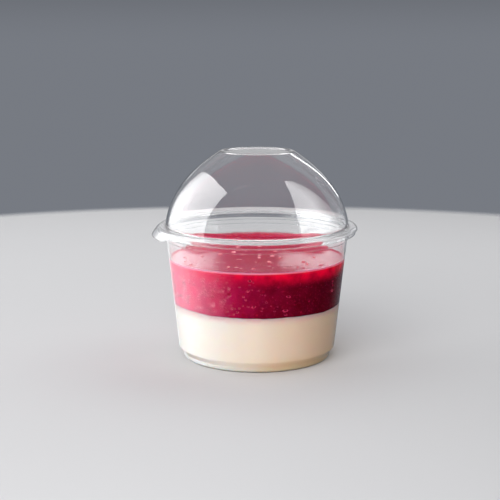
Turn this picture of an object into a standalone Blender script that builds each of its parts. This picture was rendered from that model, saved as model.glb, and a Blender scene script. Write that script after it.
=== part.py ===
"""Panna cotta pot: a clear tapered pot with a set cream and a berry coulis on it, under a clear dome lid.

Units are metres and +Z is up. The origin is the centre of the flat base, where the pot stands on a surface.
The pot, the cream, the coulis and the lid are turned about Z. The pull tab of the lid is at -X.
"""

import math

import bmesh
import bpy
import numpy as np
from mathutils import Matrix, Vector

MM = 0.001
COLLECTION = "panna_cotta_pot"
CUTTERS = "panna_cotta_pot_tools"

# Turning
STEPS = 60
AXIS_MERGE = 0.01 * MM
SHARP_ANGLE = math.radians(35)

# Clearance between pieces that touch on the real object
GAP = 0.3 * MM

# Pot: outer wall, from the base up
WALL = 0.65 * MM
FLOOR = 0.8 * MM
BASE_RADIUS = 35.6 * MM
BASE_CORNER = 1.6 * MM
BASE_CORNER_POINTS = 4
FOOT_TOP_Z = 2.8 * MM
FOOT_TOP_RADIUS = 35.9 * MM
SHOULDER_Z = 5.4 * MM
SHOULDER_RADIUS = 37.8 * MM
WALL_TOP_Z = 57.2 * MM
WALL_TOP_RADIUS = 43.3 * MM
RING_STEP = 0.45 * MM
RING_RISE = 0.35 * MM
RING_PITCH = 2.0 * MM
RING_DRAFT = 0.12 * MM

# Pot: rim flange with its turned-down lip
RIM_TOP_Z = 63.2 * MM
RIM_RADIUS = 47.2 * MM
RIM_THICK = 0.7 * MM
RIM_ROUND = 1.3 * MM
MOUTH_ROUND = 0.5 * MM
LIP_DROP = 2.9 * MM

# Contents
CREAM_LEVEL = 27.0 * MM
COULIS_LEVEL = 48.0 * MM
MENISCUS_RISE = 0.6 * MM
MENISCUS_WIDTH = 2.2 * MM
MENISCUS_STATIONS = (1.0, 0.5, 0.2)

# Seeds that stand out of the coulis
SEED_COUNT = 26
SEED_SIZE = (1.2 * MM, 0.75 * MM, 0.6 * MM)
SEED_MESH = {"u_segments": 6, "v_segments": 4}
SEED_SPACING = 5.0 * MM
SEED_SPREAD = 37.0 * MM
SEED_DRAW = 7

# Lid: dome
SHEET = 0.5 * MM
TOP_Z = 99.6 * MM
TOP_RADIUS = 18.2 * MM
TOP_EDGE_WIDTH = 0.85 * MM
TOP_EDGE_DROP = 0.35 * MM
BEAD_RADIUS = 16.1 * MM
RECESS_RADIUS = 14.9 * MM
RECESS_DEPTH = 0.6 * MM
DOME_RADIUS = 43.8 * MM
DOME_FOOT_Z = 64.7 * MM
DOME_TOP_SLOPE = math.radians(35)
DOME_FOOT_SLOPE = math.radians(6.5)
DOME_TOP_PULL = 6.6 * MM
DOME_FOOT_PULL = 20.0 * MM
DOME_POINTS = 10

# Lid: flange over the rim, round skirt outside it and plug ring inside it
FLANGE_TOP_Z = 64.05 * MM
FLANGE_THICK = 0.55 * MM
FOOT_ROUND = 0.6 * MM
SKIRT_RADIUS = 48.2 * MM
SKIRT_ROUND = 1.8 * MM
SKIRT_LOW_Z = 62.2 * MM
PLUG_RADIUS = 43.4 * MM
PLUG_LOW_Z = 61.6 * MM

# Lid: pull tab, where the skirt flares out and droops
TAB_ANGLE = math.radians(191)
TAB_HALF_ANGLE = math.radians(23)
TAB_FADE = math.radians(6)
TAB_REACH = 2.2 * MM
TAB_DROOP = 2.5 * MM

POT_PLASTIC = (0.93, 0.94, 0.95)
LID_PLASTIC = (0.96, 0.97, 0.98)
SET_CREAM = (0.87, 0.78, 0.68)
BERRY_COULIS = (0.42, 0.01, 0.05)


def clear_scene():
    """Removes whatever the scene holds."""
    for obj in list(bpy.data.objects):
        bpy.data.objects.remove(obj, do_unlink=True)


def new_collection(name):
    """A collection of this name in the scene."""
    collection = bpy.data.collections.new(name)
    bpy.context.scene.collection.children.link(collection)
    return collection


def new_material(name, colour, roughness, transmission=0.0):
    """A Principled material for one sub-part."""
    material = bpy.data.materials.new(name)
    material.use_nodes = True
    shader = material.node_tree.nodes["Principled BSDF"]
    shader.inputs["Base Color"].default_value = (*colour, 1.0)
    shader.inputs["Roughness"].default_value = roughness
    shader.inputs["Metallic"].default_value = 0.0
    shader.inputs["Transmission Weight"].default_value = transmission
    return material


def arc(centre, radius, start, end, count):
    """Points of a round corner in the profile plane, from angle start to angle end in degrees."""
    angles = np.radians(np.linspace(start, end, count))
    return [(centre[0] + radius * math.cos(a), centre[1] + radius * math.sin(a)) for a in angles]


def bezier(start, pull_start, pull_end, end, count):
    """Points of a cubic Bezier curve in the profile plane."""
    corners = np.array([start, pull_start, pull_end, end])
    points = []
    for t in np.linspace(0.0, 1.0, count):
        weights = np.array([(1 - t) ** 3, 3 * t * (1 - t) ** 2, 3 * t**2 * (1 - t), t**3])
        points.append(tuple(weights @ corners))
    return points


def inset(points, distance):
    """The same outline moved to its right-hand side by a distance, square to the mean of its two edges."""
    line = np.array(points)
    edges = np.diff(line, axis=0)
    edges /= np.linalg.norm(edges, axis=1)[:, None]
    sides = np.stack([edges[:, 1], -edges[:, 0]], axis=1)
    before = np.vstack([sides[:1], sides])
    after = np.vstack([sides, sides[-1:]])
    middle = before + after
    middle /= np.linalg.norm(middle, axis=1)[:, None]
    stretch = 1.0 / (middle * before).sum(axis=1)
    return [tuple(p) for p in line + distance * stretch[:, None] * middle]


def turned(name, profile, collection, material):
    """A closed body turned about Z, from a profile that runs down its outer side."""
    mesh = bpy.data.meshes.new(name)
    points = [(r, 0.0, z) for r, z in profile]
    mesh.from_pydata(points, [(i, i + 1) for i in range(len(points) - 1)], [])
    obj = bpy.data.objects.new(name, mesh)
    collection.objects.link(obj)
    mesh.materials.append(material)
    screw = obj.modifiers.new("turn", "SCREW")
    screw.axis = "Z"
    screw.angle = math.tau
    screw.steps = STEPS
    screw.render_steps = STEPS
    screw.use_merge_vertices = True
    screw.merge_threshold = AXIS_MERGE
    screw.use_smooth_shade = True
    return obj


def made_mesh(obj):
    """Replaces an object's modifiers by the mesh that they make."""
    graph = bpy.context.evaluated_depsgraph_get()
    graph.update()
    made = bpy.data.meshes.new_from_object(obj.evaluated_get(graph))
    obj.modifiers.clear()
    obj.data = made
    return obj


def outer_wall():
    """Stations of the pot's outer wall, from the flat base up to the flange: (radius, height)."""
    corner = arc((BASE_RADIUS - BASE_CORNER, BASE_CORNER), BASE_CORNER, -90, 0, BASE_CORNER_POINTS)
    stations = corner + [(FOOT_TOP_RADIUS, FOOT_TOP_Z), (SHOULDER_RADIUS, SHOULDER_Z)]
    radius, height = WALL_TOP_RADIUS, WALL_TOP_Z
    stations.append((radius, height))
    for _ in range(2):
        radius, height = radius + RING_STEP, height + RING_RISE
        stations.append((radius, height))
        radius, height = radius + RING_DRAFT, height + RING_PITCH - RING_RISE
        stations.append((radius, height))
    return stations


def inner_wall():
    """Stations of the pot's inner wall, from the edge of the floor up to the rim."""
    wall = outer_wall()
    corner_radius = BASE_CORNER - WALL
    corner = arc((BASE_RADIUS - BASE_CORNER, FLOOR + corner_radius), corner_radius, -90, 0, 3)
    return corner + [(r - WALL, z) for r, z in wall[BASE_CORNER_POINTS:]]


def radius_inside(height):
    """Radius of the pot's inner wall at a height."""
    stations = inner_wall()
    return float(np.interp(height, [z for _, z in stations], [r for r, _ in stations]))


def pot_profile():
    """From the middle of the floor up the inside, over the rim and down the outside to the base."""
    outside = outer_wall()
    wall_top = outside[-1][0]
    mouth = (wall_top - WALL + MOUTH_ROUND, RIM_TOP_Z - MOUTH_ROUND)
    bend = (RIM_RADIUS - RIM_ROUND, RIM_TOP_Z - RIM_ROUND)
    lip_low = RIM_TOP_Z - LIP_DROP
    rim = arc(mouth, MOUTH_ROUND, 180, 90, 3) + arc(bend, RIM_ROUND, 90, 0, 4)
    rim += [(RIM_RADIUS, lip_low), (RIM_RADIUS - RIM_THICK, lip_low)]
    rim += arc(bend, RIM_ROUND - RIM_THICK, 0, 90, 3)
    rim += [(wall_top + MOUTH_ROUND, RIM_TOP_Z - RIM_THICK)]
    return [(0.0, FLOOR)] + inner_wall() + rim + outside[::-1] + [(0.0, 0.0)]


def cream_profile():
    """The set cream fills the pot's lower part, a clearance inside the wall."""
    top = CREAM_LEVEL - GAP / 2
    low = FLOOR + GAP
    side = [(r - GAP, z) for r, z in inner_wall() if low < z < top]
    edge = (radius_inside(low) - GAP, low)
    return [(0.0, top), (radius_inside(top) - GAP, top)] + side[::-1] + [edge, (0.0, low)]


def coulis_profile():
    """The coulis lies on the cream and climbs the wall a little at its edge."""
    low = CREAM_LEVEL + GAP / 2
    edge_z = COULIS_LEVEL + MENISCUS_RISE
    edge_radius = radius_inside(edge_z) - GAP
    rise = []
    for share in MENISCUS_STATIONS:
        height = COULIS_LEVEL + (1 - share) ** 3 * MENISCUS_RISE
        rise.append((edge_radius - share * MENISCUS_WIDTH, height))
    side = [(edge_radius, edge_z), (radius_inside(low) - GAP, low)]
    return [(0.0, COULIS_LEVEL)] + rise + side + [(0.0, low)]


def seed_places():
    """Seeded random places on the coulis, no two closer than the spacing: (x, y, turn)."""
    draw = np.random.default_rng(SEED_DRAW)
    places = []
    while len(places) < SEED_COUNT:
        radius = SEED_SPREAD * math.sqrt(draw.random())
        angle = math.tau * draw.random()
        x, y = radius * math.cos(angle), radius * math.sin(angle)
        if all(math.hypot(x - a, y - b) > SEED_SPACING for a, b, _ in places):
            places.append((x, y, math.tau * draw.random()))
    return places


def seeds(collection, material):
    """One small flattened ellipsoid for each seed, half sunk in the coulis."""
    made = []
    for number, (x, y, turn) in enumerate(seed_places()):
        shape = bmesh.new()
        bmesh.ops.create_uvsphere(shape, radius=1.0, **SEED_MESH)
        size = Matrix.Diagonal(Vector((*SEED_SIZE, 1.0)))
        place = Matrix.Translation((x, y, COULIS_LEVEL)) @ Matrix.Rotation(turn, 4, "Z") @ size
        bmesh.ops.transform(shape, matrix=place, verts=shape.verts)
        mesh = bpy.data.meshes.new(f"seed_{number:02d}")
        shape.to_mesh(mesh)
        shape.free()
        mesh.materials.append(material)
        seed = bpy.data.objects.new(mesh.name, mesh)
        collection.objects.link(seed)
        seed.hide_render = True
        seed.display_type = "WIRE"
        made.append(seed)
    return made


def fuse(body, collection, pieces):
    """Joins the pieces of a collection to a body, then removes them."""
    union = body.modifiers.new("fuse", "BOOLEAN")
    union.operation = "UNION"
    union.operand_type = "COLLECTION"
    union.collection = collection
    union.solver = "EXACT"
    made_mesh(body)
    for piece in pieces:
        bpy.data.objects.remove(piece, do_unlink=True)


def dome_line():
    """Outer line of the lid from the middle of its top down to the foot of the dome."""
    recess_z = TOP_Z - RECESS_DEPTH
    top = [(0.0, recess_z), (RECESS_RADIUS, recess_z)]
    top += [(BEAD_RADIUS, TOP_Z), (TOP_RADIUS - TOP_EDGE_WIDTH, TOP_Z)]
    start = (TOP_RADIUS, TOP_Z - TOP_EDGE_DROP)
    end = (DOME_RADIUS, DOME_FOOT_Z)
    pull_start = (
        start[0] + DOME_TOP_PULL * math.cos(DOME_TOP_SLOPE),
        start[1] - DOME_TOP_PULL * math.sin(DOME_TOP_SLOPE),
    )
    pull_end = (
        end[0] - DOME_FOOT_PULL * math.sin(DOME_FOOT_SLOPE),
        end[1] + DOME_FOOT_PULL * math.cos(DOME_FOOT_SLOPE),
    )
    return top + bezier(start, pull_start, pull_end, end, DOME_POINTS)


def skirt_bend():
    """Centre of the lid's round skirt in the profile plane."""
    return SKIRT_RADIUS - SKIRT_ROUND, FLANGE_TOP_Z - SKIRT_ROUND


def lid_profile():
    """Down the dome, over the flange, round the skirt, under the flange, round the plug and up inside."""
    outside = dome_line()
    inside = inset(outside, SHEET)
    bend = skirt_bend()
    foot = (DOME_RADIUS + FOOT_ROUND, FLANGE_TOP_Z + FOOT_ROUND)
    skirt_inside = SKIRT_RADIUS - FLANGE_THICK
    flange = arc(foot, FOOT_ROUND, 200, 270, 3) + arc(bend, SKIRT_ROUND, 90, 0, 5)
    flange += [(SKIRT_RADIUS, SKIRT_LOW_Z), (skirt_inside, SKIRT_LOW_Z)]
    flange += arc(bend, SKIRT_ROUND - FLANGE_THICK, 0, 90, 4)
    plug = [(PLUG_RADIUS, FLANGE_TOP_Z - FLANGE_THICK), (PLUG_RADIUS, PLUG_LOW_Z)]
    plug += [(PLUG_RADIUS - SHEET, PLUG_LOW_Z)]
    return outside + flange + plug + inside[::-1]


def pull_tab(lid):
    """Flares the skirt outwards and downwards over the tab's angle, and fades the flare out at both ends."""
    bend_radius, bend_z = skirt_bend()
    for vertex in lid.data.vertices:
        x, y, z = vertex.co
        radius = math.hypot(x, y)
        if radius <= bend_radius:
            continue
        turn = abs(math.remainder(math.atan2(y, x) - TAB_ANGLE, math.tau))
        fade = min(max((TAB_HALF_ANGLE + TAB_FADE - turn) / (2 * TAB_FADE), 0.0), 1.0)
        round_share = 1 - math.atan2(z - bend_z, radius - bend_radius) / (math.pi / 2)
        share = fade**2 * (3 - 2 * fade) * min(max(round_share, 0.0), 1.0) ** 2
        grown = (radius + TAB_REACH * share) / radius
        vertex.co = (x * grown, y * grown, z - TAB_DROOP * share)


def smooth_sharp(obj):
    """Smooth shading that keeps the crisp edges."""
    obj.data.shade_smooth()
    obj.data.set_sharp_from_angle(angle=SHARP_ANGLE)


def build():
    clear_scene()
    parts = new_collection(COLLECTION)
    tools = new_collection(CUTTERS)
    pot_plastic = new_material("pot_plastic", POT_PLASTIC, 0.15, transmission=1.0)
    lid_plastic = new_material("lid_plastic", LID_PLASTIC, 0.08, transmission=1.0)
    cream = new_material("set_cream", SET_CREAM, 0.4)
    coulis = new_material("berry_coulis", BERRY_COULIS, 0.12)

    turned("pot", pot_profile(), parts, pot_plastic)
    turned("panna_cotta", cream_profile(), parts, cream)
    sauce = turned("coulis", coulis_profile(), parts, coulis)
    fuse(sauce, tools, seeds(tools, coulis))
    lid = made_mesh(turned("dome_lid", lid_profile(), parts, lid_plastic))
    pull_tab(lid)
    smooth_sharp(lid)


build()
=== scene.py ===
# %% [markdown]
# # A panna cotta pot, dressed for the camera
# The object is a clear tapered pot with a set cream in its lower half, a red berry coulis on top of
# it and a clear dome lid over the mouth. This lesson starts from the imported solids, which fix every
# size, and builds the surfaces that a camera sees: two thin clear shells, two fillings that touch
# the wall, the seeds and bubbles in the coulis, and the film that it left on the wall. All lengths
# are metres, Z points up, and the front is -Y.

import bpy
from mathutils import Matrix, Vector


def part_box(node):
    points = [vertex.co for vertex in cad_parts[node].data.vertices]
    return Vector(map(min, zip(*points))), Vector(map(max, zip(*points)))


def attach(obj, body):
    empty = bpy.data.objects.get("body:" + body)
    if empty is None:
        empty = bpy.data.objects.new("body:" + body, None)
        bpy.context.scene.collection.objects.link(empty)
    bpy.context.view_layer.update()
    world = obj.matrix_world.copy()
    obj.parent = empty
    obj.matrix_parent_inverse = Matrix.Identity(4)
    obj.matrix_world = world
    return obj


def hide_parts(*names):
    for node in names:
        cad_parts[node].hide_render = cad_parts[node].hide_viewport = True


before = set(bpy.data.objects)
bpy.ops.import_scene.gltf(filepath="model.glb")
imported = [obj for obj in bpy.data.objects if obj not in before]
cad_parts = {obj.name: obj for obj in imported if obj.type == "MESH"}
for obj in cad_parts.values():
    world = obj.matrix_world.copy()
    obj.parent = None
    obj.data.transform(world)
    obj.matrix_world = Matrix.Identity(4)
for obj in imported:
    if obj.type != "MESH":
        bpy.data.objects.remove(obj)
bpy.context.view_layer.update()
print("solids:", sorted(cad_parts))

# %% Libraries and the unit
import math

import bpy
import numpy as np

MM = 0.001
BODY = "root"

# %% [markdown]
# ## The camera
# The picture looks down on the pot by about ten degrees with a longish lens. A camera in Blender
# looks along its own -Z, so a turn of 90 degrees about X makes it level, and taking the tilt off
# that angle points it down. The lens length follows from the ratio of focal length to image width.

# %% Camera
CAMERA_PLACE = (-3.3 * MM, -577.4 * MM, 158.4 * MM)
CAMERA_DOWN = math.radians(10.5)
SENSOR_WIDTH = 36.0
FOCAL_TO_WIDTH = 2.434


def place_camera():
    """Camera at its place, level but for the tilt down; lens = sensor width times focal ratio."""
    data = bpy.data.cameras.new("camera")
    data.sensor_width = SENSOR_WIDTH
    data.lens = SENSOR_WIDTH * FOCAL_TO_WIDTH
    data.clip_start = 0.01
    camera = bpy.data.objects.new("camera", data)
    camera.location = CAMERA_PLACE
    camera.rotation_euler = (math.pi / 2 - CAMERA_DOWN, 0.0, 0.0)
    bpy.context.scene.collection.objects.link(camera)
    bpy.context.scene.camera = camera
    return camera


print("lens:", round(place_camera().data.lens, 1), "mm")

# %% [markdown]
# ## Turned surfaces
# Almost everything here was made round an axis, so one function does most of the work. It takes an
# outline in the (radius, height) plane and carries it round Z: ring i of the mesh is a circle with
# the radius and height of outline point i. A radius of zero becomes a single point, so that the
# middle is closed. An optional function may push the points about afterwards, as a whole array.

# %% Turning an outline
TURN_STEPS = 288
POLE = 1e-7
SHARP = math.radians(32)


def mesh_object(name, points, faces):
    """A smooth-shaded mesh object from an array of points and a list of faces, with crisp edges kept."""
    mesh = bpy.data.meshes.new(name)
    mesh.from_pydata(points.tolist(), [], faces)
    mesh.shade_smooth()
    mesh.set_sharp_from_angle(angle=SHARP)
    obj = bpy.data.objects.new(name, mesh)
    bpy.context.scene.collection.objects.link(obj)
    return obj


def turned(name, outline, steps=TURN_STEPS, push=None, loop=False):
    """Point (i, j) is (r_i cos a_j, r_i sin a_j, z_i), with a_j = 2 pi j / steps; faces join neighbours.

    The outline runs so that the outside of the body lies on its left-hand side when the radius is
    drawn to the right and the height up. push(points) returns moved points. With loop, the last
    ring is joined to the first.
    """
    outline = np.array(outline, float)
    radius, height = outline[:, 0], outline[:, 1]
    angle = 2 * np.pi * np.arange(steps) / steps
    grid = np.empty((len(outline), steps, 3))
    grid[..., 0] = radius[:, None] * np.cos(angle)
    grid[..., 1] = radius[:, None] * np.sin(angle)
    grid[..., 2] = height[:, None]
    if push:
        grid = push(grid)
    first, last = radius[0] < POLE, radius[-1] < POLE
    rings = grid[1 if first else 0:len(grid) - (1 if last else 0)]
    here = np.arange(len(rings) * steps).reshape(len(rings), steps)
    there = np.roll(here, -1, axis=1)
    quads = np.stack([here[:-1], here[1:], there[1:], there[:-1]], axis=-1).reshape(-1, 4)
    faces = quads.tolist()
    if loop:
        faces += np.stack([here[-1], here[0], there[0], there[-1]], axis=-1).tolist()
    points = rings.reshape(-1, 3)
    if first:
        pole = len(points)
        points = np.vstack([points, grid[0].mean(axis=0)])
        faces += np.stack([np.full(steps, pole), here[0], there[0]], axis=-1).tolist()
    if last:
        pole = len(points)
        points = np.vstack([points, grid[-1].mean(axis=0)])
        faces += np.stack([here[-1], np.full(steps, pole), there[-1]], axis=-1).tolist()
    return mesh_object(name, points, faces)


print("turning steps:", TURN_STEPS)

# %% [markdown]
# Outlines are written as stations that anyone can read off a drawing, joined by arcs and lines, and
# then softened, because no moulded corner is quite sharp and a rounded one catches a line of light.

# %% Arcs, lines and soft corners
CORNER_POINTS = 7
EDGE_SHARE = 0.45


def arc(centre, radius, start, end, count=CORNER_POINTS):
    """Points on a circle about centre, from angle start to angle end in degrees."""
    angle = np.radians(np.linspace(start, end, count))
    across, up = centre[0] + radius * np.cos(angle), centre[1] + radius * np.sin(angle)
    return list(zip(across.tolist(), up.tolist()))


def line(start, end, count):
    """Evenly spaced points from start to end."""
    return [tuple(p) for p in np.linspace(start, end, count)]


def softened(stations, reach, count=4):
    """Rounds every inner corner with a quadratic Bezier curve that starts and ends at reach from it."""
    points = np.array(stations, float)
    out = [tuple(points[0])]
    for before, corner, after in zip(points[:-2], points[1:-1], points[2:]):
        back, ahead = before - corner, after - corner
        reach_here = min(reach, EDGE_SHARE * np.linalg.norm(back), EDGE_SHARE * np.linalg.norm(ahead))
        start = corner + back / np.linalg.norm(back) * reach_here
        end = corner + ahead / np.linalg.norm(ahead) * reach_here
        for t in np.linspace(0, 1, count):
            out.append(tuple((1 - t) ** 2 * start + 2 * t * (1 - t) * corner + t**2 * end))
    out.append(tuple(points[-1]))
    return out


print("a soft corner:", len(softened([(0, 0), (1, 0), (1, 1)], 0.2)), "points")

# %% [markdown]
# ## The pot's outline
# The real pot is injection-moulded from one clear plastic: a flat floor, a small foot, a wall that
# widens as it rises, two low rings just under the mouth that stiffen it, and a rim with a lip that
# is turned down. Inner and outer walls are both drawn, because clear plastic only looks right when
# light meets two surfaces, one going in and one coming out.

# %% Pot sizes
_, pot_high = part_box("pot")
RIM_RADIUS = pot_high.x
RIM_TOP = pot_high.z
WALL = 0.65 * MM
FLOOR = 0.8 * MM
BASE_RADIUS = 35.6 * MM
BASE_CORNER = 1.6 * MM
FOOT_TOP = (35.9 * MM, 2.8 * MM)
SHOULDER = (37.8 * MM, 5.4 * MM)
WALL_TOP = (43.3 * MM, 57.2 * MM)
RING_STEP = 0.45 * MM
RING_RISE = 0.35 * MM
RING_PITCH = 2.0 * MM
RING_DRAFT = 0.12 * MM
RIM_THICK = 0.7 * MM
RIM_ROUND = 1.3 * MM
MOUTH_ROUND = 0.5 * MM
LIP_DROP = 2.9 * MM
EDGE_ROUND = 0.15 * MM
print("rim radius", round(RIM_RADIUS / MM, 2), "rim height", round(RIM_TOP / MM, 2), "mm")


# %% Pot walls
def outer_wall():
    """Stations of the outer wall from the edge of the base to the last ring, as (radius, height)."""
    stations = arc((BASE_RADIUS - BASE_CORNER, BASE_CORNER), BASE_CORNER, -90, 0)
    stations += [FOOT_TOP, SHOULDER, WALL_TOP]
    radius, height = WALL_TOP
    for _ in range(2):
        radius, height = radius + RING_STEP, height + RING_RISE
        stations.append((radius, height))
        radius, height = radius + RING_DRAFT, height + RING_PITCH - RING_RISE
        stations.append((radius, height))
    return stations


def inner_wall():
    """The inner wall, one wall thickness inside the outer one, from the edge of the floor up."""
    inner_round = BASE_CORNER - WALL
    centre = (BASE_RADIUS - BASE_CORNER, FLOOR + inner_round)
    return arc(centre, inner_round, -90, 0) + [(r - WALL, z) for r, z in outer_wall()[CORNER_POINTS:]]


def radius_inside(height):
    """Radius of the inner wall at a height, or at each height of an array."""
    stations = np.array(inner_wall())
    return np.interp(height, stations[:, 1], stations[:, 0])


print("inner radius at half height:", round(float(radius_inside(RIM_TOP / 2)) / MM, 2), "mm")


# %% Pot outline
def pot_outline():
    """From the middle of the floor up the inside, over the rim and down the outside to the base."""
    outside = outer_wall()
    wall_top = outside[-1][0]
    mouth = (wall_top - WALL + MOUTH_ROUND, RIM_TOP - MOUTH_ROUND)
    bend = (RIM_RADIUS - RIM_ROUND, RIM_TOP - RIM_ROUND)
    lip_low = RIM_TOP - LIP_DROP
    rim = arc(mouth, MOUTH_ROUND, 180, 90) + arc(bend, RIM_ROUND, 90, 0, 9)
    lip = [(RIM_RADIUS, lip_low), (RIM_RADIUS - RIM_THICK, lip_low)]
    under = arc(bend, RIM_ROUND - RIM_THICK, 0, 90) + [(wall_top, RIM_TOP - RIM_THICK)]
    up = softened([(0.0, FLOOR)] + inner_wall() + [(mouth[0] - MOUTH_ROUND, mouth[1])], EDGE_ROUND)
    down = softened([rim[-1]] + lip + under + outside[::-1] + [(0.0, 0.0)], EDGE_ROUND)
    return up + rim + down[1:]


print("pot outline:", len(pot_outline()), "points")

# %% [markdown]
# ## The lid's outline
# The lid is drawn from a thin clear sheet: a flat top that is sunk inside a raised ring, a dome
# that runs steeper and steeper to its foot, a flat flange on the pot's rim, a round skirt outside
# the rim and a short plug ring inside the mouth. A cubic Bezier curve gives the dome, because its
# two end slopes are easy to read in a side view. The inner line is the outer one, moved in by the
# thickness of the sheet.

# %% Lid sizes
_, lid_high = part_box("dome_lid")
TOP = lid_high.z
SHEET = 0.5 * MM
TOP_RADIUS = 18.2 * MM
TOP_EDGE_WIDTH = 0.85 * MM
TOP_EDGE_DROP = 0.35 * MM
BEAD_RADIUS = 16.1 * MM
RECESS_RADIUS = 14.9 * MM
RECESS_DEPTH = 0.6 * MM
DOME_RADIUS = 43.8 * MM
DOME_FOOT = 64.7 * MM
TOP_SLOPE = math.radians(35)
FOOT_SLOPE = math.radians(6.5)
TOP_PULL = 6.6 * MM
FOOT_PULL = 20.0 * MM
TOP_ROUND = 0.5 * MM
DOME_POINTS = 40
FLANGE_TOP = 64.05 * MM
FLANGE_THICK = 0.55 * MM
FOOT_ROUND = 0.6 * MM
SKIRT_RADIUS = lid_high.x
SKIRT_ROUND = 1.8 * MM
SKIRT_LOW = 62.2 * MM
PLUG_RADIUS = 43.4 * MM
PLUG_LOW = 61.6 * MM
TAB_ANGLE = math.radians(191)
TAB_HALF = math.radians(23)
TAB_FADE = math.radians(6)
TAB_REACH = 2.2 * MM
TAB_DROOP = 2.5 * MM
print("lid top", round(TOP / MM, 2), "skirt radius", round(SKIRT_RADIUS / MM, 2), "mm")


# %% Dome line
def bezier(start, pull_start, pull_end, end, count):
    """Cubic Bezier curve: weights (1-t)^3, 3t(1-t)^2, 3t^2(1-t), t^3 on the four corners."""
    t = np.linspace(0, 1, count)[:, None]
    weights = np.hstack([(1 - t) ** 3, 3 * t * (1 - t) ** 2, 3 * t**2 * (1 - t), t**3])
    return [tuple(p) for p in weights @ np.array([start, pull_start, pull_end, end])]


def dome_line():
    """Outer line of the lid from the middle of the top to the foot of the dome."""
    recess = TOP - RECESS_DEPTH
    start = (TOP_RADIUS, TOP - TOP_EDGE_DROP)
    end = (DOME_RADIUS, DOME_FOOT)
    top = [(0.0, recess), (RECESS_RADIUS, recess), (BEAD_RADIUS, TOP), (TOP_RADIUS - TOP_EDGE_WIDTH, TOP)]
    pull_start = (start[0] + TOP_PULL * math.cos(TOP_SLOPE), start[1] - TOP_PULL * math.sin(TOP_SLOPE))
    pull_end = (end[0] - FOOT_PULL * math.sin(FOOT_SLOPE), end[1] + FOOT_PULL * math.cos(FOOT_SLOPE))
    dome = bezier(start, pull_start, pull_end, end, DOME_POINTS)
    return softened(top + dome[:2], TOP_ROUND, 6)[:-1] + dome[1:]


def inset(points, distance):
    """The same line moved to its right by a distance, square to the mean of its two edges."""
    points = np.array(points)
    edges = np.diff(points, axis=0)
    edges /= np.linalg.norm(edges, axis=1)[:, None]
    sides = np.stack([edges[:, 1], -edges[:, 0]], axis=1)
    before = np.vstack([sides[:1], sides])
    after = np.vstack([sides, sides[-1:]])
    middle = (before + after) / np.linalg.norm(before + after, axis=1)[:, None]
    stretch = 1 / (middle * before).sum(axis=1)
    return [tuple(p) for p in points + distance * stretch[:, None] * middle]


print("dome line:", len(dome_line()), "points")

# %% Lid outline
SKIRT_BEND = (SKIRT_RADIUS - SKIRT_ROUND, FLANGE_TOP - SKIRT_ROUND)


def lid_outline():
    """Down the dome, over the flange, round the skirt, under the flange, round the plug and up inside."""
    outside = dome_line()
    inside = inset(outside, SHEET)
    foot = (DOME_RADIUS + FOOT_ROUND, FLANGE_TOP + FOOT_ROUND)
    over = arc(foot, FOOT_ROUND, 200, 270) + arc(SKIRT_BEND, SKIRT_ROUND, 90, 0, 15)
    hem = [(SKIRT_RADIUS, SKIRT_LOW), (SKIRT_RADIUS - FLANGE_THICK, SKIRT_LOW)]
    under = arc(SKIRT_BEND, SKIRT_ROUND - FLANGE_THICK, 0, 90, 11)
    plug_top = FLANGE_TOP - FLANGE_THICK
    plug = [(PLUG_RADIUS, plug_top), (PLUG_RADIUS, PLUG_LOW), (PLUG_RADIUS - SHEET, PLUG_LOW)]
    low = softened([over[-1]] + hem + under[:1], EDGE_ROUND)
    back = softened([under[-1]] + plug + inside[::-1][:1], EDGE_ROUND)
    return outside + over + low[1:-1] + under + back[1:-1] + inside[::-1]


print("lid outline:", len(lid_outline()), "points")

# %% [markdown]
# The skirt flares into a small pull tab at the left. A turned mesh needs no new faces for that: the
# points of the skirt are moved out and down over a short arc, with a smooth start and end.


# %% Pull tab
def flare_tab(grid):
    """Points outside the skirt's bend move out and down by a share of the tab's reach and droop.

    The share is a smooth step over the tab's angle, times the square of how far round the bend
    the point lies.
    """
    x, y, z = grid[..., 0], grid[..., 1], grid[..., 2]
    radius = np.hypot(x, y)
    turn = np.abs(np.angle(np.exp(1j * (np.arctan2(y, x) - TAB_ANGLE))))
    fade = np.clip((TAB_HALF + TAB_FADE - turn) / (2 * TAB_FADE), 0, 1)
    outside = np.maximum(radius - SKIRT_BEND[0], POLE)
    round_share = np.clip(1 - np.arctan2(z - SKIRT_BEND[1], outside) / (np.pi / 2), 0, 1)
    share = fade**2 * (3 - 2 * fade) * round_share**2 * (radius > SKIRT_BEND[0])
    grow = 1 + TAB_REACH * share / np.maximum(radius, POLE)
    return np.stack([x * grow, y * grow, z - TAB_DROOP * share], axis=-1)


print("tab:", round(math.degrees(2 * TAB_HALF)), "degrees wide")

# %% [markdown]
# ## A library of small effects
# Plastic, cream and fruit all need the same kind of unevenness, so it is made once as a node group:
# a noise with a mask and a height as outputs. It reads Object coordinates, so that it stays put in
# the piece. Each material places the group with its own scale and contrast. The helpers before it
# only add a node and link it, which keeps the materials short enough to read.


# %% Node helpers
def math_node(tree, operation, first, second, clamp=False):
    """A Math node on two sockets or numbers; returns its output."""
    node = tree.nodes.new("ShaderNodeMath")
    node.operation = operation
    node.use_clamp = clamp
    for slot, value in enumerate((first, second)):
        if isinstance(value, bpy.types.NodeSocket):
            tree.links.new(value, node.inputs[slot])
        else:
            node.inputs[slot].default_value = value
    return node.outputs[0]


def times(tree, first, second):
    """The product of two sockets or numbers."""
    return math_node(tree, "MULTIPLY", first, second)


def mapped(tree, value, low, high, to_low=0.0, to_high=1.0):
    """A smooth step of a value from one range to another; returns its output."""
    node = tree.nodes.new("ShaderNodeMapRange")
    node.interpolation_type = "SMOOTHSTEP"
    tree.links.new(value, node.inputs["Value"])
    for label, number in (("From Min", low), ("From Max", high), ("To Min", to_low), ("To Max", to_high)):
        node.inputs[label].default_value = number
    return node.outputs["Result"]


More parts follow.
